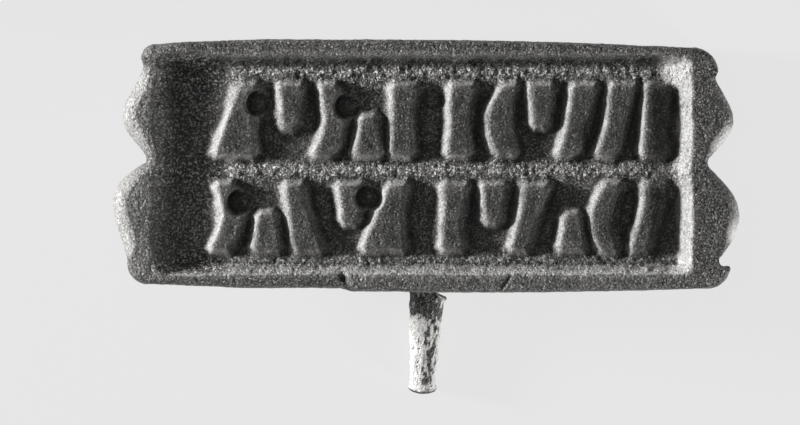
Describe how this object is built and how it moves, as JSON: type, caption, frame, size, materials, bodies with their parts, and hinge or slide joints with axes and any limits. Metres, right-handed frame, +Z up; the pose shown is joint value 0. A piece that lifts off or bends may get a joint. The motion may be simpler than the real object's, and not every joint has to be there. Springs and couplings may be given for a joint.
{
  "type": "stamp seal",
  "caption": "Cast bronze stamp seal: oblong plate with scalloped ends, a sunken field of raised strokes and a slanting shank behind.",
  "frame": {"origin": "centre of the bounding box in X and Y, at the surface that the seal lies on", "axes": "+Z up, +X along the plate, the face's normal tipped from +Z towards +Y by 19 degrees"},
  "size_m": [0.07, 0.0428, 0.0145],
  "materials": {
    "patinated_bronze": "dark patinated cast bronze, rough in the sunken field and smoother on the rim"
  },
  "bodies": {
    "root": {"stamp_seal": "patinated_bronze"}
  },
  "joints": []
}
